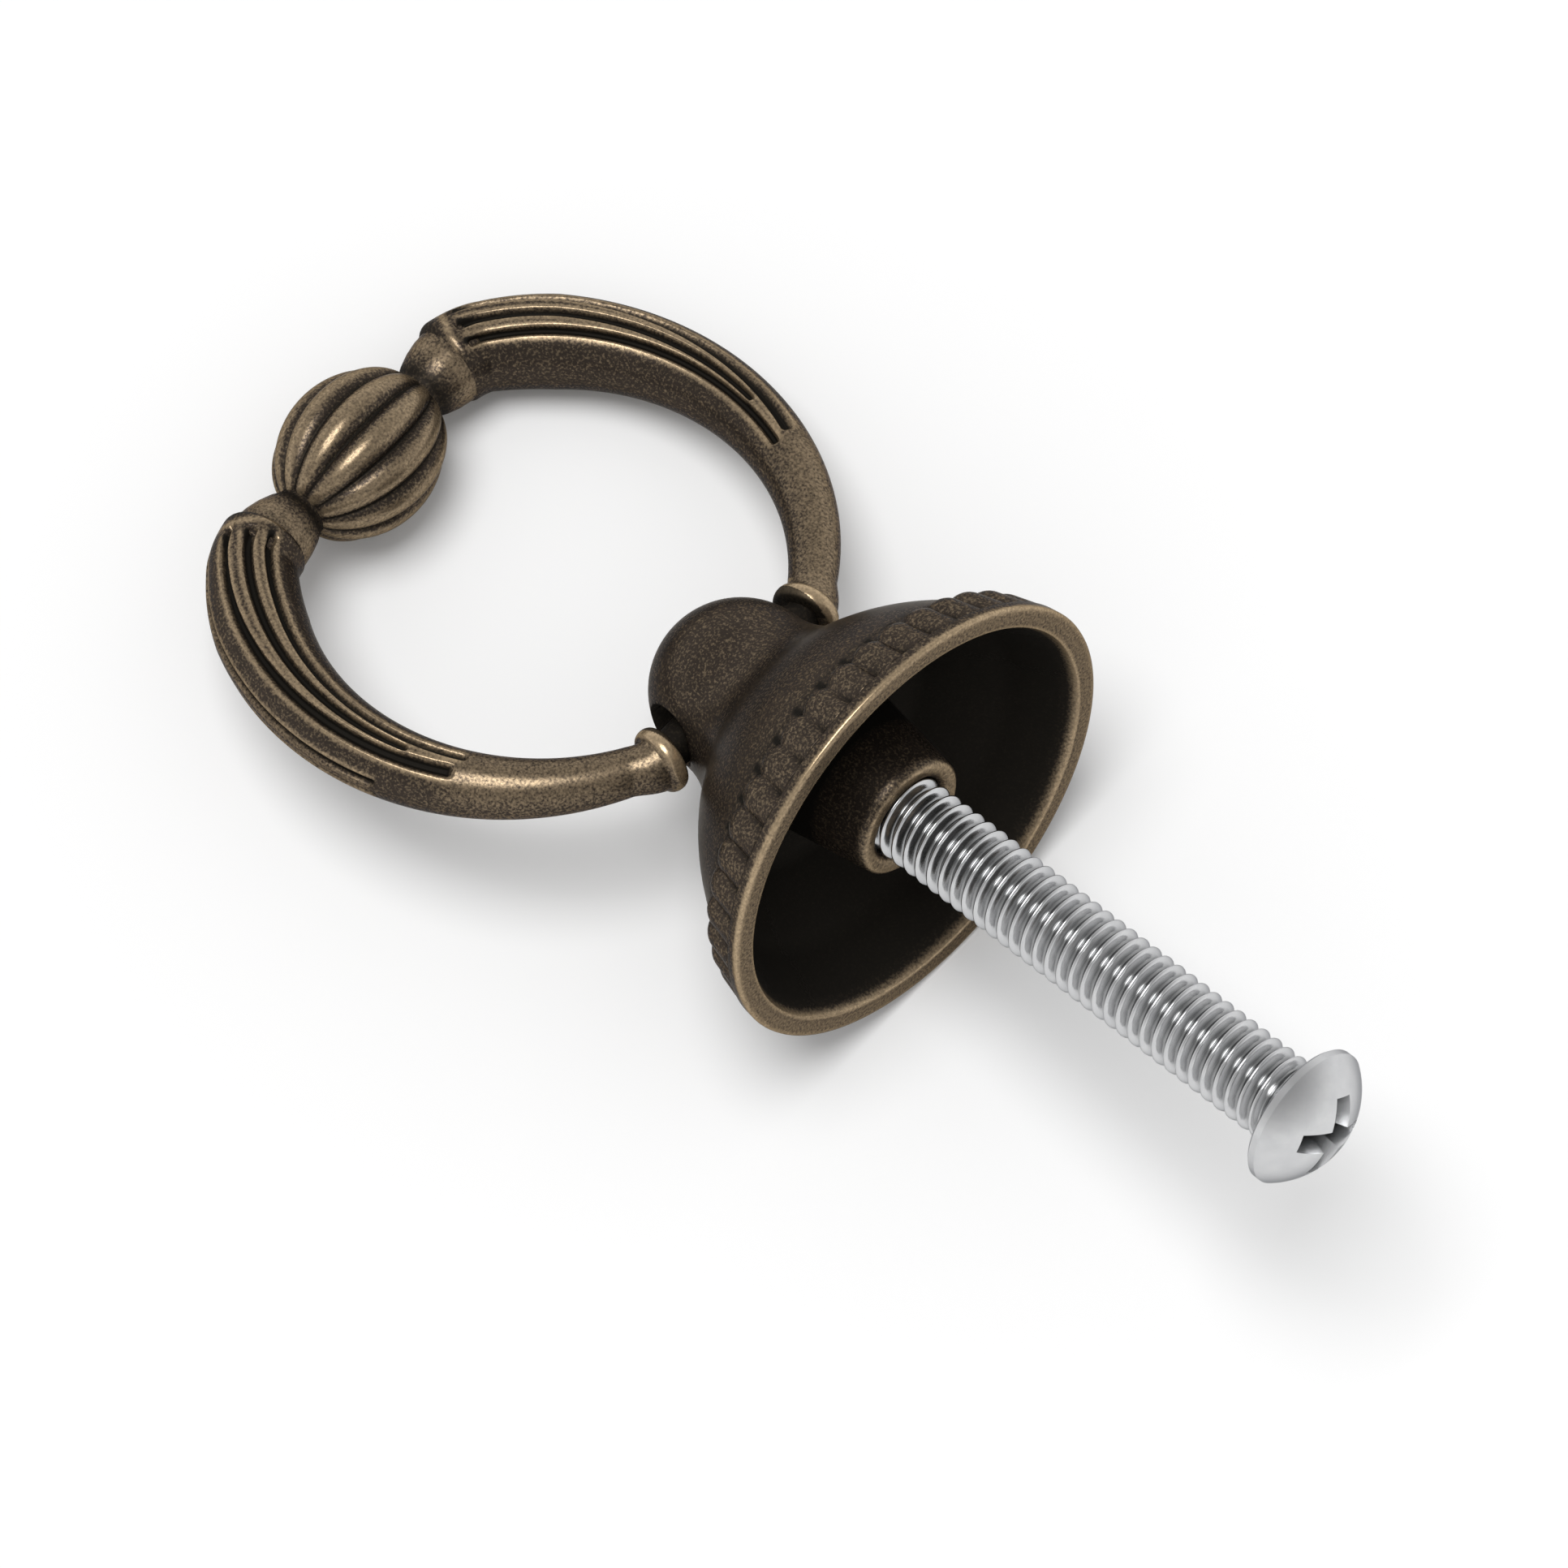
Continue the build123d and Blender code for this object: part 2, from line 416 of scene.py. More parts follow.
def grid_object(
    name: str,
    rows: np.ndarray,
    close_start: bool = True,
    close_end: bool = True,
) -> bpy.types.Object:
    """Make a closed tube from rings of points, in millimetres.

    Args:
        name: Name of the piece.
        rows: Points as an array of ring, place round the ring, and x y z.
        close_start: Whether the first ring is closed with a fan.
        close_end: Whether the last ring is closed with a fan.

    Returns:
        The object, shaded smooth, in metres.
    """
    count, around = rows.shape[:2]
    points = [rows.reshape(-1, 3)]
    index = np.arange(count * around).reshape(count, around)
    turned = np.roll(index, -1, axis=1)
    faces = np.stack([index[:-1], turned[:-1], turned[1:], index[1:]], -1)
    polygons = faces.reshape(-1, 4).tolist()
    for wanted, ring, flip in ((close_start, 0, True), (close_end, count - 1, False)):
        if wanted:
            hub = count * around + len(points) - 1
            points.append(rows[ring].mean(0, keepdims=True))
            pairs = zip(index[ring], turned[ring])
            polygons += [[b, a, hub] if flip else [a, b, hub] for a, b in pairs]
    mesh = bpy.data.meshes.new(name)
    mesh.from_pydata((np.vstack(points) * MM).tolist(), [], polygons)
    mesh.validate()
    mesh.shade_smooth()
    piece = bpy.data.objects.new(name, mesh)
    bpy.context.scene.collection.objects.link(piece)
    return piece


def turn_profile(profile: np.ndarray, around: int) -> np.ndarray:
    """Turn a profile about Z.

    Args:
        profile: Radius and height of each point.
        around: Points round the turn.

    Returns:
        Rings of points for grid_object.
    """
    angle = np.linspace(0, 2 * math.pi, around, endpoint=False)
    radius, height = profile[:, 0, None], profile[:, 1, None]
    flat = np.ones_like(angle)
    return np.stack(
        [radius * np.cos(angle), radius * np.sin(angle), height * flat], axis=-1
    )


def spread(corners: list[tuple[float, float]], step: float) -> np.ndarray:
    """Divide a run of corners into short even steps, keeping each corner.

    Args:
        corners: Corners of the run.
        step: Largest distance between points.

    Returns:
        The points of the run.
    """
    points = [np.array(corners[0], float)]
    for start, end in zip(corners[:-1], corners[1:]):
        a, b = np.array(start, float), np.array(end, float)
        count = max(1, math.ceil(float(np.linalg.norm(b - a)) / step))
        points += [a + (b - a) * i / count for i in range(1, count + 1)]
    return np.array(points)


def arc(
    centre: tuple[float, float], radius: float, start: float, end: float, count: int
) -> list[tuple[float, float]]:
    """Points along a circular arc.

    Args:
        centre: Centre of the arc.
        radius: Radius of the arc.
        start: Angle of the first point, in degrees.
        end: Angle of the last point, in degrees.
        count: Number of points.

    Returns:
        The points of the arc.
    """
    turns = np.radians(np.linspace(start, end, count))
    return [
        (centre[0] + radius * math.cos(t), centre[1] + radius * math.sin(t))
        for t in turns
    ]


def tangent_arc(
    start: tuple[float, float],
    end: tuple[float, float],
    heading: tuple[float, float],
    count: int,
) -> list[tuple[float, float]]:
    """Points along the arc that leaves a point on a heading and ends at another.

    Args:
        start: First point.
        end: Last point.
        heading: Direction in which the arc leaves the first point.
        count: Number of points.

    Returns:
        The points of the arc.
    """
    side = np.array([-heading[1], heading[0]]) / math.hypot(*heading)
    chord = np.subtract(end, start)
    reach = float(chord @ chord) / (2 * float(chord @ side))
    centre = np.array(start) + side * reach
    first, last = (math.atan2(*(np.array(p) - centre)[::-1]) for p in (start, end))
    centre_point = (float(centre[0]), float(centre[1]))
    turn = (last - first + math.pi) % (2 * math.pi) - math.pi
    return arc(centre_point, abs(reach), math.degrees(first), math.degrees(first + turn), count)


def carve(piece: bpy.types.Object, cutter: bpy.types.Object) -> None:
    """Cut one closed mesh out of another and delete the cutter.

    Args:
        piece: Mesh object that is cut.
        cutter: Closed mesh object that is taken away.
    """
    modifier = piece.modifiers.new("cut", "BOOLEAN")
    modifier.operation = "DIFFERENCE"
    modifier.solver = "EXACT"
    modifier.object = cutter
    bpy.context.view_layer.update()
    evaluated = piece.evaluated_get(bpy.context.evaluated_depsgraph_get())
    mesh = bpy.data.meshes.new_from_object(evaluated)
    piece.modifiers.clear()
    old = piece.data
    piece.data = mesh
    mesh.name = piece.name
    bpy.data.meshes.remove(old)
    bpy.data.objects.remove(cutter)


def store_masks(piece: bpy.types.Object, wear_and_shade: Callable[[np.ndarray], Masks]) -> None:
    """Store how rubbed and how darkened by patina and painted shade each point of a piece is.

    Args:
        piece: Mesh object to mark.
        wear_and_shade: Gives both masks from points in the maker's own millimetres.
    """
    mesh = piece.data
    points = np.zeros(len(mesh.vertices) * 3, np.float32)
    mesh.vertices.foreach_get("co", points)
    rubbed, patina_and_shade = wear_and_shade(points.reshape(-1, 3).astype(float) / MM)
    for name, values in (("rubbed", rubbed), ("patina_and_shade", patina_and_shade)):
        layer = mesh.attributes.new(name, "FLOAT", "POINT")
        layer.data.foreach_set("value", np.clip(values, 0, 1).astype(np.float32))


def finish_piece(
    piece: bpy.types.Object,
    material: bpy.types.Material,
    body: Body,
    node: str,
) -> None:
    """Give a piece its material and tie it to the CAD frame.

    Args:
        piece: The finished mesh object.
        material: Its material.
        body: The body it moves with.
        node: The CAD node it stands for.
    """
    piece.data.materials.clear()
    piece.data.materials.append(material)
    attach(piece, body.value)
    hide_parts(node)
    LOG.info("%s: %d faces on body %s", piece.name, len(piece.data.polygons), body.value)


@dataclass
class GadroonedBell:
    """The bell that seats on the furniture, with its neck and nose."""

    rim_radius: float = 10.94
    rim_width: float = 1.04
    lip_height: float = 0.65
    lip_taper: float = 0.06
    ground_radius: float = 10.45
    valley_radius: float = 9.35
    valley_depth: float = 3.15
    shoulder_radius: float = 5.75
    shoulder_depth: float = 7.45
    neck_radius: float = 4.05
    nose_centre_depth: float = 10.8
    tongue_count: int = 40
    tongue_round: float = 1.1
    crest_radius: float = 10.84
    crest_slope: float = 15.0
    crest_length: float = 1.5
    hollow_knee: tuple[float, float] = (8.45, -3.0)
    hollow_floor: tuple[float, float] = (5.7, -6.5)
    boss_end_radius: float = 2.85
    boss_recess: float = 0.4
    boss_root_radius: float = 3.794
    thread_hole_radius: float = 1.99
    thread_hole_depth: float = 7.2
    hinge_depth: float = 11.24
    cross_hole_radius: float = 1.55
    cutter_reach: float = 8.0
    columns_per_tongue: int = 12
    step: float = 0.16

    def outline(self) -> np.ndarray:
        """Profile of the outer form and the hollow, from nose to thread hole.

        Returns:
            Radius and height of each profile point.
        """
        nose = arc((0, -self.nose_centre_depth), self.neck_radius, -89, 0, 26)
        shoulder_start = (self.shoulder_radius, -self.shoulder_depth)
        neck = tangent_arc(nose[-1], shoulder_start, (0, 1), 16)
        leaving = (neck[-1][0] - neck[-2][0], neck[-1][1] - neck[-2][1])
        shoulder = tangent_arc(
            shoulder_start, (self.valley_radius, -self.valley_depth), leaving, 22
        )
        outer = nose + neck[1:] + shoulder[1:]
        ground = spread(
            [
                (self.valley_radius, -self.valley_depth),
                (self.ground_radius, -self.lip_height - 0.02),
            ],
            0.07,
        )
        lip_foot = self.rim_radius - self.lip_taper
        inner = self.rim_radius - self.rim_width
        rim = [
            (self.ground_radius + 0.01, -self.lip_height),
            (lip_foot - 0.05, -self.lip_height),
            (lip_foot, -self.lip_height + 0.05),
            (self.rim_radius, -0.15),
            (self.rim_radius - 0.04, -0.04),
            (self.rim_radius - 0.15, 0.0),
            (inner + 0.06, 0.0),
            (inner, -0.06),
        ]
        hollow = [
            self.hollow_knee,
            (self.hollow_floor[0] + 0.35, self.hollow_floor[1] + 0.45),
            (self.hollow_floor[0] - 0.5, self.hollow_floor[1]),
            (self.boss_root_radius, self.hollow_floor[1]),
            (self.boss_end_radius + 0.03, -self.boss_recess - 0.12),
            (self.boss_end_radius - 0.12, -self.boss_recess),
            (self.thread_hole_radius + 0.25, -self.boss_recess),
            (self.thread_hole_radius, -self.boss_recess - 0.25),
            (self.thread_hole_radius, -self.thread_hole_depth),
            (0.02, -self.thread_hole_depth),
        ]
        return np.vstack(
            [
                spread(outer, self.step * 2),
                ground[1:],
                spread(rim, self.step),
                spread([rim[-1], *hollow], self.step * 3)[1:],
            ]
        )

    def tongue_reach(self, height: np.ndarray, turn: np.ndarray) -> np.ndarray:
        """Radius that the gadroon tongues reach at a height and a turn.

        Args:
            height: Height of each point.
            turn: Angle from the middle of the nearest tongue, in radians.

        Returns:
            Radius of the tongue's surface, or 0 where there is none.
        """
        slope = math.radians(self.crest_slope)
        way_r, way_z = math.sin(slope), math.cos(slope)
        out_r, out_z = math.cos(slope), -math.sin(slope)
        top_r = self.crest_radius - out_r * self.tongue_round
        top_z = -self.lip_height - out_z * self.tongue_round
        nose_r = top_r - way_r * self.crest_length
        nose_z = top_z - way_z * self.crest_length
        cos_t, sin_t = np.cos(turn), np.sin(turn)
        a = cos_t * out_r
        b = (height - nose_z) * out_z - nose_r * out_r
        square = a * a + sin_t * sin_t
        inside = a * a * b * b - square * (b * b - self.tongue_round**2)
        bar = (-a * b + np.sqrt(np.maximum(inside, 0))) / square
        along = (bar * cos_t - nose_r) * way_r + (height - nose_z) * way_z
        drop = self.tongue_round**2 - (height - nose_z) ** 2
        ball_in = (nose_r * cos_t) ** 2 - nose_r**2 + drop
        ball = np.where(ball_in > 0, nose_r * cos_t + np.sqrt(np.maximum(ball_in, 0)), 0)
        return np.where((along >= 0) & (inside > 0), bar, ball)

    def in_tongue_zone(self, points: np.ndarray) -> np.ndarray:
        """Tell which points lie on the gadrooned band of the outer face."""
        radius = np.hypot(points[..., 0], points[..., 1])
        height = points[..., 2]
        low, high = -self.valley_depth - 0.1, -self.lip_height - 0.001
        return (height > low) & (height < high) & (radius > self.wall_limit(height))

    def nearest_turn(self, points: np.ndarray) -> np.ndarray:
        """Angle of each point from the middle of its nearest tongue."""
        pitch = 2 * math.pi / self.tongue_count
        turn = np.arctan2(points[..., 1], points[..., 0])
        return (turn + pitch / 2) % pitch - pitch / 2

    def wear_and_shade(self, points: np.ndarray) -> Masks:
        """Work out where the bell is rubbed bright, where its lacquer stays dark and where shade
        is painted.

        Args:
            points: Points on the bell, in millimetres.

        Returns:
            The rubbed mask and the mask of patina and painted shade.
        """
        radius = np.hypot(points[:, 0], points[:, 1])
        height = points[:, 2]
        turn = np.abs(self.nearest_turn(points)) / (math.pi / self.tongue_count)
        zone = self.in_tongue_zone(points)
        share = (height + self.lip_height) / (self.lip_height - self.valley_depth)
        ground = self.ground_radius + share * (self.valley_radius - self.ground_radius)
        proud = radius - ground
        # The tongues are barely rubbed, and the lacquer is thick between them.
        rubbed = zone * smooth_step(0.3, 0.46, proud) * 0.04
        patina_and_shade = zone * (1 - smooth_step(0.05, 0.3, proud)) * smooth_step(0.55, 0.9, turn)
        # Both edges of the rim are the brightest, its flat face and the boss less.
        outer_edge = bump_at(self.rim_radius, 0.16, radius) * bump_at(-0.08, 0.16, height)
        inner_radius = self.rim_radius - self.rim_width
        inner_edge = bump_at(inner_radius, 0.1, radius) * bump_at(0.0, 0.12, height)
        boss_edge = bump_at(self.boss_end_radius, 0.12, radius)
        boss_edge *= bump_at(-self.boss_recess, 0.12, height)
        face = (height > -0.03) * bump_at(self.rim_radius - self.rim_width / 2, 0.6, radius)
        boss_face = bump_at(-self.boss_recess, 0.15, height) * (radius < self.boss_end_radius)
        rubbed += 0.8 * outer_edge + 0.7 * inner_edge + 0.35 * boss_edge
        rubbed += 0.25 * face + 0.35 * boss_face
        # Shade is painted into the hollow and the cross hole; the valley at the foot of the
        # tongues gets dark lacquer and painted shade under the tongue ends.
        wall = inner_radius + (self.hollow_knee[0] - inner_radius) * height / self.hollow_knee[1]
        inside = (height < -0.1) & (height > self.hollow_floor[1] - 0.2) & (radius < wall + 0.12)
        inside &= radius < 9.95
        hollow_shade = smooth_step(0.05, 0.6, -height) * inside * (radius < self.wall_limit(height))
        boss_side = (radius < self.boss_root_radius) & (height > -3.0)
        patina_and_shade = np.maximum(patina_and_shade, 0.97 * hollow_shade * ~boss_side)
        valley = bump_at(-self.valley_depth - 0.05, 0.14, height) * (radius > 9.0)
        patina_and_shade = np.maximum(patina_and_shade, 0.55 * valley)
        hole = np.hypot(points[:, 1], height + self.hinge_depth) < self.cross_hole_radius + 0.02
        patina_and_shade = np.maximum(patina_and_shade, 0.9 * hole * (np.abs(points[:, 0]) < self.neck_radius - 0.3))
        return rubbed, patina_and_shade

    def wall_limit(self, height: np.ndarray) -> np.ndarray:
        """Radius halfway through the bell's wall at each height."""
        heights = [-7.2, -6.5, -5.0, -3.0, 0.0]
        radii = [5.0, 6.4, 7.5, 8.9, 10.4]
        return np.interp(height, heights, radii)

    def build(self, material: bpy.types.Material) -> bpy.types.Object:
        """Build the bell casting.

        Args:
            material: Finish of the casting.

        Returns:
            The bell's object.
        """
        rings = turn_profile(self.outline(), self.tongue_count * self.columns_per_tongue)
        zone = self.in_tongue_zone(rings)
        radius = np.hypot(rings[..., 0], rings[..., 1])
        reach = self.tongue_reach(rings[..., 2], self.nearest_turn(rings))
        wanted = np.where(zone, np.maximum(radius, reach), radius)
        rings[..., :2] *= (wanted / radius)[..., None]
        bell = grid_object("bell_casting", rings)
        ends = (-self.cutter_reach, self.cutter_reach)
        hole = turn_profile(np.array([(self.cross_hole_radius, end) for end in ends]), 96)
        hole = hole[..., [2, 1, 0]][:, ::-1]
        hole[..., 2] -= self.hinge_depth
        carve(bell, grid_object("cross_hole_cutter", hole))
        store_masks(bell, self.wear_and_shade)
        finish_piece(bell, material, Body.BELL, "bell_base")
        return bell


@dataclass
class Reed:
    """One groove along an arm: its place round the arm, its run and its width."""

    place_start: float
    place_end: float
    stop_angle: float
    width_start: float
    width_end: float

    def run(
        self, angle: np.ndarray, start_angle: float
    ) -> tuple[np.ndarray, np.ndarray, np.ndarray]:
        """Follow the groove along its arm.

        Args:
            angle: Angles round the arms' circle, in degrees.
            start_angle: Angle at which all grooves start.

        Returns:
            Share of the run, place round the arm in degrees, and width.
        """
        share = (angle - start_angle) / (self.stop_angle - start_angle)
        middle = self.place_start + (self.place_end - self.place_start) * share
        width = self.width_start + (self.width_end - self.width_start) * share
        return share, middle, width


def front_reeds() -> list[Reed]:
    """The four grooves on the front of an arm, which are mirrored behind."""
    return [
        Reed(15.0, 13.0, 99.0, 0.34, 0.42),
        Reed(55.0, 72.0, 113.0, 0.36, 0.72),
        Reed(88.0, 91.0, 103.0, 0.52, 0.42),
        Reed(117.0, 107.0, 115.0, 0.42, 0.46),
    ]


@dataclass
class ReededRing:
    """The ring: reeded arms, collars and pins, waists and melon ball."""

    hinge_depth: float = 11.24
    cant: float = 6.73
    lean: float = 2.1
    circle_radius: float = 12.36
    start_angle: float = 35.0
    swell_angle: float = 56.0
    end_angle: float = 148.0
    start_radius: float = 1.95
    swell_radius: float = 2.14
    end_radius: float = 1.09
    root_place: tuple[float, float] = (6.13, 0.14)
    root_tilt: float = 9.0
    root_radius: float = 2.05
    root_round: float = 0.45
    root_blend_angle: float = 41.0
    reed_start_angle: float = 35.5
    reed_depth: float = 0.34
    plain_mark: float = 170.0
    reeds: list[Reed] = field(default_factory=front_reeds)
    bar_inset: float = 2.41
    melon_radius: float = 3.6
    melon_half_length: float = 4.29
    melon_lobes: int = 12
    melon_groove_ratio: float = 0.86
    waist_start: float = 4.15
    waist_radius: float = 1.25
    flare_radius: float = 1.85
    flare_end: float = 7.3
    collar_distance: float = 5.05
    collar_tilt: float = 12.0
    lip_radius: float = 1.55
    lip_width: float = 0.8
    face_radius: float = 1.3
    pin_radius: float = 0.9
    pin_inner_end: float = 1.2
    columns: int = 240

    @property
    def circle_centre(self) -> float:
        """Distance of the arms' circle centre from the hinge line."""
        return math.sqrt(self.circle_radius**2 - self.collar_distance**2)

    @property
    def bar_line(self) -> float:
        """Distance of the finger bar from the hinge line."""
        return self.circle_centre + self.circle_radius - self.bar_inset

    @property
    def turn(self) -> np.ndarray:
        """Turn that lays the ring's own plane in the row frame."""
        cant = Matrix.Rotation(math.radians(self.cant), 3, "Y")
        lean = Matrix.Rotation(math.radians(self.lean - 90), 3, "X")
        return np.array(cant @ lean)

    def placed(self, points: np.ndarray) -> np.ndarray:
        """Lay points of the ring's own plane in the row frame.

        Args:
            points: Points with x along the hinge, y to the ball, z to the front.

        Returns:
            The same points in the row frame, in millimetres.
        """
        return points @ self.turn.T + np.array([0, 0, -self.hinge_depth])

    def unplaced(self, points: np.ndarray) -> np.ndarray:
        """Take points of the row frame back to the ring's own plane."""
        return (points + np.array([0, 0, self.hinge_depth])) @ self.turn

    def arm_radius(self, angle: np.ndarray) -> np.ndarray:
        """Radius of an arm: a swell near the ball, then a long taper.

        Args:
            angle: Angle round the arms' circle from the ball, in degrees.

        Returns:
            The arm's radius there.
        """
        early = (self.swell_angle - angle) / (self.swell_angle - self.start_angle)
        late = (angle - self.swell_angle) / (self.end_angle - self.swell_angle)
        return np.where(
            angle < self.swell_angle,
            self.swell_radius - (self.swell_radius - self.start_radius) * early**2,
            self.swell_radius + (self.end_radius - self.swell_radius) * late,
        )

    def arm_line(self) -> tuple[np.ndarray, np.ndarray, np.ndarray]:
        """Centre line of the right arm, from the shoulder to the collar face.

        Returns:
            Points, radii and circle angles along the line.
        """
        angles = np.linspace(self.root_blend_angle, self.end_angle, 180)
        turn = np.radians(angles)
        on_circle = np.stack([np.sin(turn), np.cos(turn)], -1) * self.circle_radius
        on_circle[:, 1] += self.circle_centre
        radii = self.arm_radius(angles)
        root = np.array([self.root_place[0], self.bar_line + self.root_place[1]])
        root_turn = math.radians(self.root_tilt)
        root_way = np.array([math.cos(root_turn), -math.sin(root_turn)])
        edge_steps = [0, 0.004, 0.015, 0.04, 0.07, 0.11, 0.15]
        near = np.concatenate([edge_steps, np.linspace(0.19, 0.97, 24)])
        first = self.bridge(root, root_way, on_circle[0], self.heading(turn[0]), near)
        run_in = np.linalg.norm(first - root, axis=1)
        edge = np.clip(run_in / self.root_round, 0, 1)
        first_radii = self.root_radius + (radii[0] - self.root_radius) * near
        first_radii = first_radii - self.root_round * (1 - np.sqrt(1 - (1 - edge) ** 2))
        tilt = math.radians(self.collar_tilt)
        way = -np.array([math.cos(tilt), math.sin(tilt)])
        collar = np.array([self.collar_distance, 0.0])
        half = self.lip_width / 2
        share = np.linspace(0, 1, 22)[1:]
        bend = self.bridge(
            on_circle[-1], self.heading(turn[-1]), collar - way * half, way, share
        )
        flare = radii[-1] + (self.face_radius - radii[-1]) * share**2.6
        lip = np.linspace(-1, 1, 25)[1:]
        lip_line = collar + np.outer(lip, way) * half
        lip_radii = self.face_radius + (self.lip_radius - self.face_radius) * np.sqrt(1 - lip**2)
        points = np.vstack([first, on_circle, bend, lip_line])
        sizes = np.concatenate([first_radii, radii, flare, lip_radii])
        marks = np.degrees(np.arctan2(points[:, 0], points[:, 1] - self.circle_centre))
        marks[len(first) + len(angles) :] = self.plain_mark
        return points, sizes, marks

    def heading(self, turn: float) -> np.ndarray:
        """Direction in which an arm runs at an angle round its circle, in radians."""
        return np.array([math.cos(turn), -math.sin(turn)])

    def bridge(
        self,
        start: np.ndarray,
        leave: np.ndarray,
        end: np.ndarray,
        arrive: np.ndarray,
        share: np.ndarray,
    ) -> np.ndarray:
        """Join two places by a smooth curve that keeps the direction at both.

        Args:
            start: First place.
            leave: Direction at the first place.
            end: Last place.
            arrive: Direction at the last place.
            share: Places along the curve, from 0 to 1.

        Returns:
            The curve's points.
        """
        reach = float(np.linalg.norm(end - start))
        t = share[:, None]
        return (
            (2 * t**3 - 3 * t**2 + 1) * start
            + (t**3 - 2 * t**2 + t) * leave * reach
            + (3 * t**2 - 2 * t**3) * end
            + (t**3 - t**2) * arrive * reach
        )

    def groove(self, angle: np.ndarray, place: np.ndarray, radius: np.ndarray) -> np.ndarray:
        """Depth of the reeding grooves.

        Args:
            angle: Angle round the arms' circle, in degrees.
            place: Place round the arm from its outer side, in degrees.
            radius: Radius of the arm.

        Returns:
            Depth below the arm's round surface, in millimetres.
        """
        depth = np.zeros(np.broadcast(angle, place).shape)
        for reed in self.reeds:
            _, middle, width = reed.run(angle, self.reed_start_angle)
            away = np.radians(np.abs(np.abs(place) - middle)) * radius
            across = 1 - smooth_step(0.25, 1.0, away / (width / 2 + 0.05))
            ends = smooth_step(-0.7, 0.5, angle - self.reed_start_angle)
            ends = ends * (1 - smooth_step(-0.3, 0.9, angle - reed.stop_angle))
            depth = np.maximum(depth, self.reed_depth * across * ends)
        return depth

    def arm_wear_and_shade(self, points: np.ndarray) -> Masks:
        """Work out where an arm is rubbed bright, where its lacquer stays dark and where shade is
        painted.

        Args:
            points: Points on either arm, in the row frame, in millimetres.

        Returns:
            The rubbed mask and the mask of patina and painted shade.
        """
        own = self.unplaced(points)
        x, y, z = np.abs(own[:, 0]), own[:, 1] - self.circle_centre, own[:, 2]
        angle = np.degrees(np.arctan2(x, y))
        outward = np.hypot(x, y) - self.circle_radius
        place = np.degrees(np.arctan2(z, outward))
        radius = self.arm_radius(angle)
        depth = self.groove(angle, place, radius)
        crest = np.zeros(len(points))
        for reed in self.reeds:
            share, middle, width = reed.run(angle, self.reed_start_angle)
            inside = smooth_step(-0.02, 0.02, share) * (1 - smooth_step(0.98, 1.02, share))
            away = np.radians(np.abs(np.abs(place) - middle)) * radius - width / 2
            crest = np.maximum(crest, bump_at(0.1, 0.14, away) * inside)
        # Ridges, the lip where the reeding starts and the collar are rubbed.
        on_front = smooth_step(-0.4, 0.6, np.abs(z) / radius)
        start_lip = bump_at(self.reed_start_angle - 2.3, 0.9, angle)
        collar = (angle > self.end_angle) * smooth_step(1.32, 1.5, np.hypot(own[:, 1], z))
        collar = collar * (x < self.collar_distance + 0.7)
        rubbed = 0.5 * crest * on_front + 0.5 * start_lip + 0.5 * collar
        rubbed += 0.3 * bump_at(70, 60, np.abs(place)) * smooth_step(104, 120, angle)
        # The grooves keep their dark lacquer; shade is painted on the collar's inner face and on
        # the end towards the ball.
        patina_and_shade = smooth_step(0.1, 0.28, depth)
        face = (x < self.collar_distance - self.lip_width / 2 + 0.25) & (angle > self.end_angle)
        patina_and_shade = np.maximum(patina_and_shade, 0.85 * face)
        ball_end_shade = smooth_step(0.0, 1.6, self.reed_start_angle - 3.4 - angle)
        patina_and_shade = np.maximum(patina_and_shade, 0.6 * ball_end_shade)
        return rubbed, patina_and_shade

    def build_arm(self, side: int, name: str) -> bpy.types.Object:
        """Build one arm with its collar.

        Args:
            side: 1 for the arm on +X, -1 for the other.
            name: Name of the piece.

        Returns:
            The arm's object.
        """
        line, radii, angles = self.arm_line()
        run = np.gradient(line, axis=0)
        run /= np.linalg.norm(run, axis=1, keepdims=True)
        outward = np.stack([-run[:, 1], run[:, 0]], -1)
        place = np.linspace(-180, 180, self.columns, endpoint=False)
        depth = self.groove(angles[:, None], place[None, :], radii[:, None])
        size = radii[:, None] - depth
        turn = np.radians(place)[None, :]
        rings = np.zeros((len(line), self.columns, 3))
        rings[..., :2] = line[:, None, :] + outward[:, None, :] * (size * np.cos(turn))[..., None]
        rings[..., 2] = size * np.sin(turn)
        rings[..., 0] *= side
        if side > 0:
            rings = rings[:, ::-1]
        return grid_object(name, self.placed(rings))

    def melon_wear(self, points: np.ndarray) -> Masks:
        """Work out the masks of the melon ball from how far it fills its outline."""
        own = self.unplaced(points)
        x, y, z = own[:, 0], own[:, 1] - self.bar_line, own[:, 2]
        across = np.maximum(1 - (x / self.melon_half_length) ** 2, 0.01)
        outline = self.melon_radius * np.sqrt(across)
        fill = np.hypot(y, z) / outline
        rubbed = 0.42 * smooth_step(0.93, 0.995, fill)
        valley = self.melon_groove_ratio
        patina_and_shade = 1 - smooth_step(valley + 0.005, valley + 0.06, fill)
        return rubbed, patina_and_shade

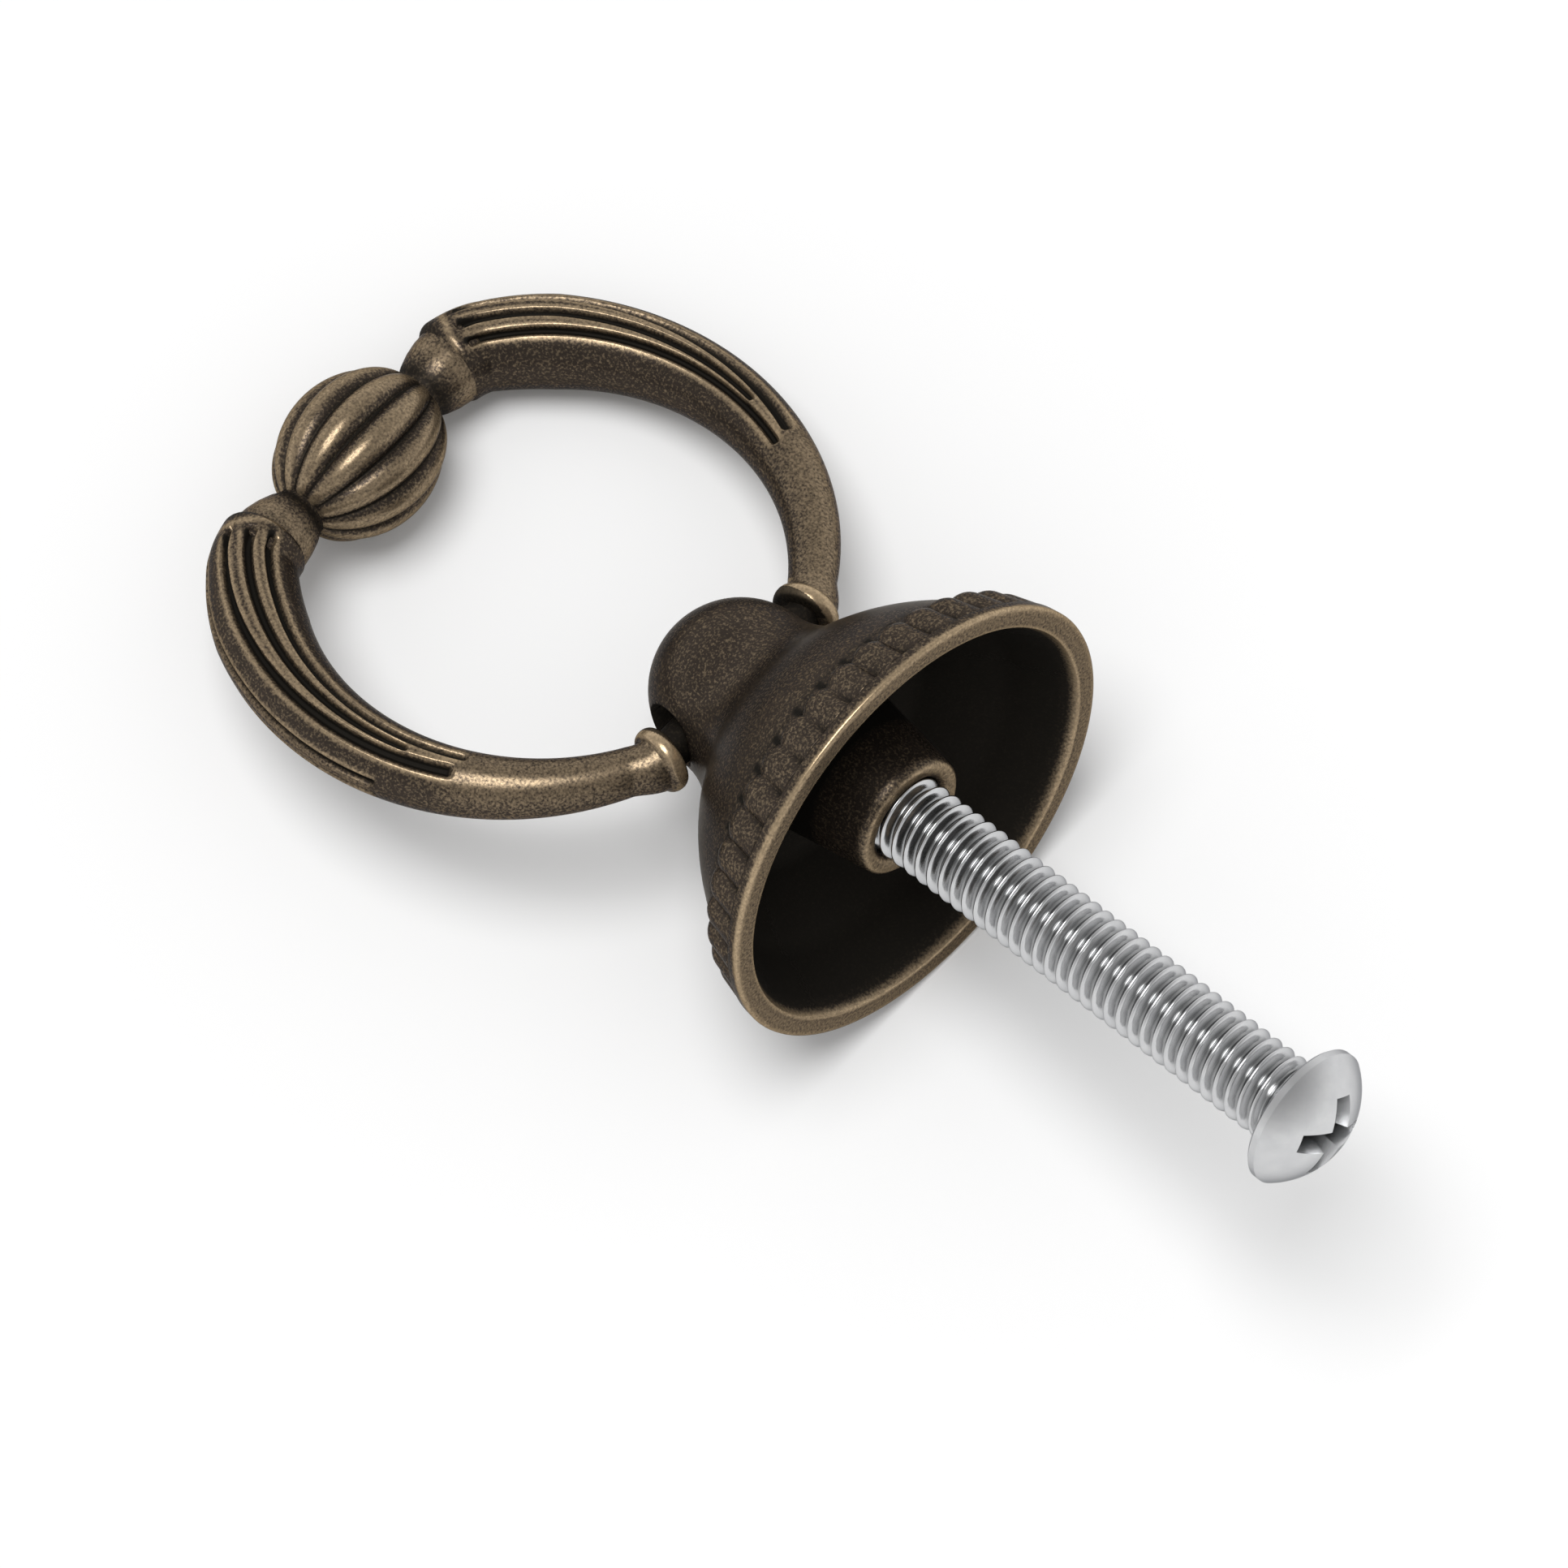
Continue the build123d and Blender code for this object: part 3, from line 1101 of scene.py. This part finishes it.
    def build_melon(self) -> bpy.types.Object:
        """Build the fluted ball.

        Returns:
            The ball's object.
        """
        pitch = 2 * math.pi / self.melon_lobes
        valley = self.melon_groove_ratio
        centre = (1 - valley**2) / (2 * (1 - valley * math.cos(pitch / 2)))
        lobe = 1 - centre
        turn = np.linspace(0, 2 * math.pi, self.melon_lobes * 20, endpoint=False)
        near = (turn + pitch / 2) % pitch - pitch / 2
        inner = np.maximum(lobe**2 - (centre * np.sin(near)) ** 2, 0)
        outline = centre * np.cos(near) + np.sqrt(inner)
        pole = math.asin(self.waist_start / self.melon_half_length)
        along = np.linspace(-pole, pole, 90)
        size = self.melon_radius * np.cos(along)
        rings = np.zeros((len(along), len(turn), 3))
        rings[..., 0] = (self.melon_half_length * np.sin(along))[:, None]
        rings[..., 1] = self.bar_line + size[:, None] * outline * np.cos(turn)
        rings[..., 2] = size[:, None] * outline * np.sin(turn)
        return grid_object("ring_melon_ball", self.placed(rings))

    def waist_wear(self, points: np.ndarray) -> Masks:
        """Work out the masks of the waists: dark at the throat, rubbed on the flare."""
        x = np.abs(self.unplaced(points)[:, 0])
        rubbed = 0.3 * bump_at(5.6, 0.7, x)
        patina_and_shade = 0.8 * bump_at(4.3, 0.35, x)
        return rubbed, patina_and_shade

    def build_waist(self, side: int, name: str) -> bpy.types.Object:
        """Build the waist between the ball and one arm.

        Args:
            side: 1 for the waist on +X, -1 for the other.
            name: Name of the piece.

        Returns:
            The waist's object.
        """
        run = np.linspace(3.0, self.flare_end, 40)
        knots = [3.0, self.waist_start, 4.6, 5.23, 5.86, 6.4, self.flare_end]
        sizes = [1.25, self.waist_radius, 1.49, 1.7, 1.82, 1.85, self.flare_radius]
        radius = np.interp(run, knots, sizes)
        turn = np.linspace(0, 2 * math.pi, 96, endpoint=False)
        rings = np.zeros((len(run), len(turn), 3))
        rings[..., 0] = side * run[:, None]
        rings[..., 1] = self.bar_line + radius[:, None] * np.cos(turn * side)
        rings[..., 2] = radius[:, None] * np.sin(turn * side)
        return grid_object(name, self.placed(rings))

    def pin_shade(self, points: np.ndarray) -> Masks:
        """Work out the masks of the pins: unrubbed, keeping their lacquer, with shade painted all
        over them as they lie in shadow.
        """
        return np.zeros(len(points)), np.full(len(points), 0.85)

    def build_pin(self, side: int, name: str) -> bpy.types.Object:
        """Build the hinge pin of one collar.

        Args:
            side: 1 for the pin on +X, -1 for the other.
            name: Name of the piece.

        Returns:
            The pin's object.
        """
        edge = 0.12
        profile = [
            (self.pin_radius - edge, self.pin_inner_end),
            (self.pin_radius, self.pin_inner_end + edge),
            (self.pin_radius, self.collar_distance),
        ]
        rings = turn_profile(spread(profile, 0.4), 72)[..., [2, 1, 0]]
        rings[..., 0] *= side
        if side > 0:
            rings = rings[:, ::-1]
        return grid_object(name, self.placed(rings))

    def build(self, material: bpy.types.Material) -> list[bpy.types.Object]:
        """Build the whole ring.

        Args:
            material: Finish of the casting.

        Returns:
            The ring's pieces.
        """
        pieces = []
        for side, word in ((1, "right"), (-1, "left")):
            pieces.append((self.build_arm(side, f"ring_arm_{word}"), self.arm_wear_and_shade))
            pieces.append((self.build_waist(side, f"ring_waist_{word}"), self.waist_wear))
            pieces.append((self.build_pin(side, f"ring_pin_{word}"), self.pin_shade))
        pieces.append((self.build_melon(), self.melon_wear))
        for piece, wear_and_shade in pieces:
            store_masks(piece, wear_and_shade)
            finish_piece(piece, material, Body.RING, "pull_ring")
        return [piece for piece, _ in pieces]


@dataclass
class MachineScrew:
    """The M4 machine screw with its rolled thread and domed cross head."""

    major_radius: float = 1.95
    pitch: float = 0.7
    thread_depth: float = 0.43
    length: float = 25.0
    head_seat: float = 22.4
    tip_chamfer: float = 0.6
    run_out: float = 0.9
    head_radius: float = 3.25
    head_edge_height: float = 0.45
    head_height: float = 2.15
    cross_width: float = 1.1
    cross_length: float = 4.1
    cross_depth: float = 1.35
    cross_taper: float = 12.0
    cross_turn: float = 58.6
    rows_per_pitch: int = 12
    columns: int = 96
    crisp_angle: float = 30.0

    @property
    def head_top(self) -> float:
        """Height of the crown of the head."""
        return self.head_seat + self.head_height

    @property
    def dome_radius(self) -> float:
        """Radius of the ball of which the head's crown is a part."""
        rise = self.head_height - self.head_edge_height
        return (self.head_radius**2 + rise**2) / (2 * rise)

    def thread_profile(self, share: np.ndarray) -> np.ndarray:
        """Depth below the crest over one pitch, with round crests and roots.

        Args:
            share: Place within the pitch, from 0 to 1.

        Returns:
            Depth as a share of the thread's full depth.
        """
        from_crest = np.abs((share + 0.5) % 1.0 - 0.5)
        return smooth_step(0.03, 0.43, from_crest)

    def shank_shade(self, points: np.ndarray) -> Masks:
        """Work out the masks of the shank: shade painted dark in the thread's root."""
        radius = np.hypot(points[:, 0], points[:, 1])
        depth = (self.major_radius - radius) / self.thread_depth
        tip = self.head_seat - self.length
        patina_and_shade = 0.55 * smooth_step(0.55, 1.0, depth) * (points[:, 2] > tip + 0.05)
        return np.zeros(len(points)), patina_and_shade

    def build_shank(self) -> bpy.types.Object:
        """Build the threaded shank.

        Returns:
            The shank's object.
        """
        tip = self.head_seat - self.length
        count = math.ceil((self.length - 0.05) / self.pitch * self.rows_per_pitch)
        height = np.linspace(tip, self.head_seat - 0.05, count)[:, None]
        turn = np.linspace(0, 2 * math.pi, self.columns, endpoint=False)[None, :]
        share = (height / self.pitch - turn / (2 * math.pi)) % 1.0
        fade = smooth_step(0, self.run_out, self.head_seat - 0.15 - height)
        radius = self.major_radius - self.thread_depth * self.thread_profile(share) * fade
        chamfer = self.major_radius - self.tip_chamfer + (height - tip)
        radius = np.minimum(radius, np.maximum(chamfer, 0.5))
        rings = np.stack(
            [radius * np.cos(turn), radius * np.sin(turn), height + 0 * turn], axis=-1
        )
        return grid_object("screw_threaded_shank", rings)

    def build_head(self) -> bpy.types.Object:
        """Build the domed head with its cross recess.

        Returns:
            The head's object.
        """
        dome = self.dome_radius
        edge_turn = math.degrees(math.asin(self.head_radius / dome))
        crown = arc((0, self.head_top - dome), dome, 90 - edge_turn, 89.6, 40)
        foot = [
            (0.3, self.head_seat),
            (self.head_radius - 0.12, self.head_seat),
            (self.head_radius, self.head_seat + 0.12),
            (self.head_radius, self.head_seat + self.head_edge_height - 0.06),
        ]
        profile = np.vstack([spread(foot, 0.3), crown])
        head = grid_object("screw_head", turn_profile(profile, 128))
        carve(head, self.recess_cutter(self.cross_length, self.cross_width))
        carve(head, self.recess_cutter(self.cross_width, self.cross_length))
        return head

    def recess_cutter(self, size_x: float, size_y: float) -> bpy.types.Object:
        """Make a tapered block that cuts one arm of the recess.

        Args:
            size_x: Length along X at the crown.
            size_y: Length along Y at the crown.

        Returns:
            The cutter's object.
        """
        taper = math.tan(math.radians(self.cross_taper)) * self.cross_depth
        turn = math.radians(self.cross_turn)
        spin = np.array([[math.cos(turn), math.sin(turn)], [-math.sin(turn), math.cos(turn)]])
        corners = np.array([(1, 1), (-1, 1), (-1, -1), (1, -1)], float)
        rings = []
        ends = ((self.head_top - self.cross_depth, taper), (self.head_top + 0.5, -0.1))
        for height, inset in ends:
            half = np.array([size_x / 2 - inset, size_y / 2 - inset])
            flat = (corners * half) @ spin
            rings.append(np.column_stack([flat, np.full(4, height)]))
        return grid_object("recess_cutter", np.array(rings))

    def head_shade(self, points: np.ndarray) -> Masks:
        """Work out the masks of the head: shade painted dark inside the cross recess."""
        radius = np.hypot(points[:, 0], points[:, 1])
        dome = self.dome_radius
        crown = self.head_top - dome + np.sqrt(np.maximum(dome**2 - radius**2, 0))
        inside = (radius < self.head_radius - 0.2) & (points[:, 2] < crown - 0.2)
        inside &= points[:, 2] > self.head_seat + 0.3
        return np.zeros(len(points)), 0.7 * inside

    def build(self, material: bpy.types.Material) -> list[bpy.types.Object]:
        """Build the whole screw.

        Args:
            material: Finish of the screw.

        Returns:
            The screw's pieces.
        """
        shank, head = self.build_shank(), self.build_head()
        for piece, wear_and_shade in ((shank, self.shank_shade), (head, self.head_shade)):
            store_masks(piece, wear_and_shade)
            finish_piece(piece, material, Body.BELL, "mounting_screw")
        head.data.set_sharp_from_angle(angle=math.radians(self.crisp_angle))
        return [shank, head]


@dataclass
class Studio:
    """White paper, soft light and the camera at the photograph's angle."""

    camera_mm: tuple[float, float, float] = (-160.53, 318.935, 180.407)
    right: tuple[float, float, float] = (0.70661, -0.06113, 0.70496)
    up: tuple[float, float, float] = (0.58797, 0.60502, -0.53688)
    lens_mm: float = 213.9
    paper_gap: float = 0.01
    camera_rise: float = 70.03
    paper_size: float = 600.0
    key_way: tuple[float, float, float] = (-0.178, 0.03, 1.0)
    key_strength: float = 1.9
    key_spread: float = 33.0
    fill_strength: float = 0.6
    ceiling_strength: float = 0.32
    horizon_height: float = 0.1
    zenith_height: float = 0.9

    @property
    def back(self) -> Vector:
        """Direction from the object to the camera."""
        return Vector(self.right).cross(Vector(self.up)).normalized()

    @property
    def floor_up(self) -> Vector:
        """Upward normal of the paper, on which rim and ball rest."""
        rise = math.radians(self.camera_rise)
        return (math.sin(rise) * self.back + math.cos(rise) * Vector(self.up)).normalized()

    def place_camera(self) -> None:
        """Add the camera and make it the scene's own."""
        camera = bpy.data.cameras.new("studio_camera")
        camera.lens = self.lens_mm
        camera.sensor_width = 36.0
        camera.clip_start = 0.01
        camera.clip_end = 10.0
        holder = bpy.data.objects.new("studio_camera", camera)
        bpy.context.scene.collection.objects.link(holder)
        turn = Matrix((self.right, self.up, self.back)).transposed()
        holder.matrix_world = Matrix.Translation(Vector(self.camera_mm) * MM) @ turn.to_4x4()
        bpy.context.scene.camera = holder

    def floor_turn(self) -> Matrix:
        """Turn whose X is the picture's right and whose Z is the paper's normal."""
        x = Vector(self.right).normalized()
        z = self.floor_up
        y = z.cross(x).normalized()
        return Matrix((x, y, z)).transposed()

    def lowest_point(self, pieces: list[bpy.types.Object]) -> float:
        """Find how low the pieces reach along the paper's normal.

        Args:
            pieces: The object's pieces.

        Returns:
            Height of the lowest point, in metres.
        """
        up = self.floor_up
        return min(
            up.dot(piece.matrix_world @ vertex.co)
            for piece in pieces
            for vertex in piece.data.vertices
        )

    def lay_paper(self, pieces: list[bpy.types.Object]) -> None:
        """Lay the background paper under the object.

        Args:
            pieces: The object's pieces, which nothing of the paper may cut.
        """
        half = self.paper_size / 2
        mesh = bpy.data.meshes.new("background_paper")
        corners = [(-half, -half, 0), (half, -half, 0), (half, half, 0), (-half, half, 0)]
        mesh.from_pydata([tuple(c * MM for c in corner) for corner in corners], [], [(0, 1, 2, 3)])
        paper = bpy.data.objects.new("background_paper", mesh)
        bpy.context.scene.collection.objects.link(paper)
        base = self.floor_up * (self.lowest_point(pieces) - self.paper_gap * MM)
        paper.matrix_world = Matrix.Translation(base) @ self.floor_turn().to_4x4()
        mesh.materials.append(WhitePaper().build())

    def add_key(self) -> None:
        """Add the one broad, soft key light, far above the paper's left side."""
        light = bpy.data.lights.new("key_softbox", "SUN")
        light.energy = self.key_strength
        light.angle = math.radians(self.key_spread)
        holder = bpy.data.objects.new("key_softbox", light)
        bpy.context.scene.collection.objects.link(holder)
        aim = self.floor_turn() @ Vector(self.key_way).normalized()
        holder.matrix_world = aim.to_track_quat("Z", "Y").to_matrix().to_4x4()

    def light_world(self) -> None:
        """Surround the scene with plain white, dimmer as light than as backdrop."""
        world = bpy.data.worlds.new("studio_world")
        bpy.context.scene.world = world
        world.use_nodes = True
        tree = world.node_tree
        tree.nodes.clear()
        way = add_node(tree, "ShaderNodeTexCoord").outputs["Generated"]
        height = add_node(
            tree,
            "ShaderNodeVectorMath",
            {"operation": "DOT_PRODUCT", "in:1": tuple(self.floor_up)},
            {0: way},
        )
        # Metal mirrors bright walls near the horizon and a dim ceiling above.
        mirrored = add_node(
            tree,
            "ShaderNodeMapRange",
            {
                "in:From Min": self.horizon_height,
                "in:From Max": self.zenith_height,
                "in:To Min": 1.0,
                "in:To Max": self.ceiling_strength,
            },
            {"Value": height.outputs["Value"]},
        )
        rays = add_node(tree, "ShaderNodeLightPath")
        lighting = add_node(
            tree,
            "ShaderNodeMix",
            {"data_type": "FLOAT", "in:2": self.fill_strength},
            {0: rays.outputs["Is Glossy Ray"], 3: mirrored.outputs["Result"]},
        )
        strength = add_node(
            tree,
            "ShaderNodeMix",
            {"data_type": "FLOAT", "in:3": 1.0},
            {0: rays.outputs["Is Camera Ray"], 2: lighting.outputs[0]},
        )
        sky = add_node(
            tree,
            "ShaderNodeBackground",
            {"in:Color": linear("#ffffff")},
            {"Strength": strength.outputs[0]},
        )
        add_node(tree, "ShaderNodeOutputWorld", links={"Surface": sky.outputs[0]})

    def build(self, pieces: list[bpy.types.Object]) -> None:
        """Set up the paper, the lights, the world and the camera.

        Args:
            pieces: The object's pieces, which the paper lies under.
        """
        self.place_camera()
        self.lay_paper(pieces)
        self.light_world()
        self.add_key()
        bpy.context.scene.view_settings.view_transform = "Standard"


def main() -> None:
    """Build the handle and its studio in order."""
    logging.basicConfig(level=logging.INFO, format="%(name)s: %(message)s")
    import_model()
    casting = BronzedCasting().build()
    plating = ZincPlatedSteel().build()
    pieces = [GadroonedBell().build(casting)]
    pieces += ReededRing().build(casting)
    pieces += MachineScrew().build(plating)
    bpy.context.view_layer.update()
    Studio().build(pieces)
    LOG.info("boxes written")


if __name__ == "__main__":
    main()
